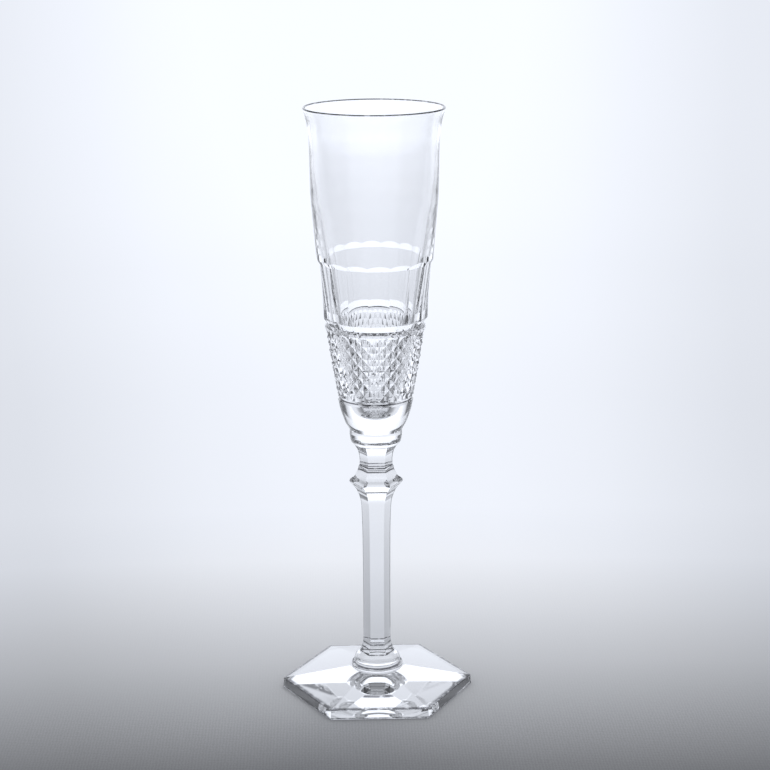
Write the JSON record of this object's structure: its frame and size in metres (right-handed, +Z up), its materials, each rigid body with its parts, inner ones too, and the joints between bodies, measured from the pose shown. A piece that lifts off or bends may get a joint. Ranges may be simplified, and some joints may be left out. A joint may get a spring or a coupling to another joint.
{
  "type": "champagne flute",
  "caption": "Tall cut-crystal champagne flute: a flared cylindrical bowl with upright flats and diamond cutting on a hexagonal knopped stem and a hexagonal foot.",
  "frame": {"origin": "centre of the foot's underside", "axes": "+Z up the stem towards the rim; +X towards a corner of the foot; a flat side of the foot faces -Y, the front"},
  "size_m": [0.08, 0.0692, 0.245],
  "materials": {
    "foot_crystal": "polished clear crystal",
    "button_crystal": "polished clear crystal",
    "stem_crystal": "polished clear crystal",
    "collar_crystal": "polished clear crystal",
    "bowl_crystal": "polished clear crystal, cut"
  },
  "bodies": {
    "root": {"foot": "foot_crystal", "stem_button": "button_crystal", "stem": "stem_crystal", "bowl_collar": "collar_crystal", "bowl": "bowl_crystal"}
  },
  "joints": []
}
